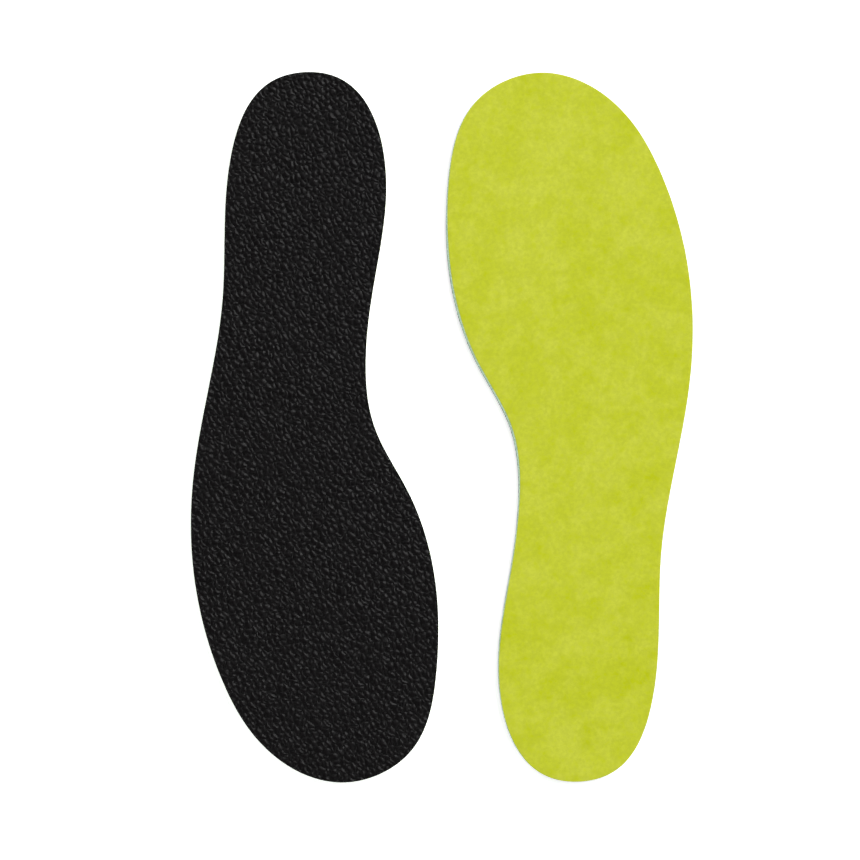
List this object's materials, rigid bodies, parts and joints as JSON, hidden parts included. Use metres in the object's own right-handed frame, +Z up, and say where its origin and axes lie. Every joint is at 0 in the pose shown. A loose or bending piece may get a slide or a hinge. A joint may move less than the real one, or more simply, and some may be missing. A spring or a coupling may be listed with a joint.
{
  "type": "cushioned insole pair",
  "caption": "Pair of thin cushioned insoles lying side by side, one cover up and one base up: velour cover, foam core and grained base, each bending at the ball of the foot.",
  "frame": {"origin": "midway between the two insoles in plan, on the surface that the pair lies on", "axes": "+Y along the insoles' length, towards the right insole's toe and the left insole's heel; +Z up through the thickness; +X towards the right insole's lateral side"},
  "size_m": [0.1982, 0.28, 0.004],
  "materials": {
    "cover": "brushed velour, lime green, matt with a soft nap",
    "glue": "dried adhesive film, translucent off-white",
    "foam": "open-cell polyurethane foam, pale blue-green, matt",
    "base": "black coated sheet with an embossed pebble grain, semi-matt"
  },
  "bodies": {
    "right_rear": {"right_base_rear": "base", "right_base_glue_rear": "glue", "right_foam_core_rear": "foam", "right_cover_glue_rear": "glue", "right_cover_rear": "cover"},
    "right_fore": {"right_base_fore": "base", "right_base_glue_fore": "glue", "right_foam_core_fore": "foam", "right_cover_glue_fore": "glue", "right_cover_fore": "cover"},
    "left_rear": {"left_base_rear": "base", "left_base_glue_rear": "glue", "left_foam_core_rear": "foam", "left_cover_glue_rear": "glue", "left_cover_rear": "cover"},
    "left_fore": {"left_base_fore": "base", "left_base_glue_fore": "glue", "left_foam_core_fore": "foam", "left_cover_glue_fore": "glue", "left_cover_fore": "cover"}
  },
  "joints": [
    {"name": "right_ball_flex", "type": "hinge", "parent": "right_rear", "child": "right_fore", "pos_m": [0.0536, 0.0488, 0.002], "axis": [0.9537, -0.3007, 0], "range_deg": [0, 55], "stiffness_Nm_per_rad": 0.06},
    {"name": "left_ball_flex", "type": "hinge", "parent": "left_rear", "child": "left_fore", "pos_m": [-0.0536, -0.0488, 0.002], "axis": [-0.9537, 0.3007, 0], "range_deg": [0, 55], "stiffness_Nm_per_rad": 0.06},
    {"name": "left_slide_apart", "type": "slide", "parent": "right_rear", "child": "left_rear", "axis": [-1, 0, 0], "range_m": [0, 0.12]}
  ]
}
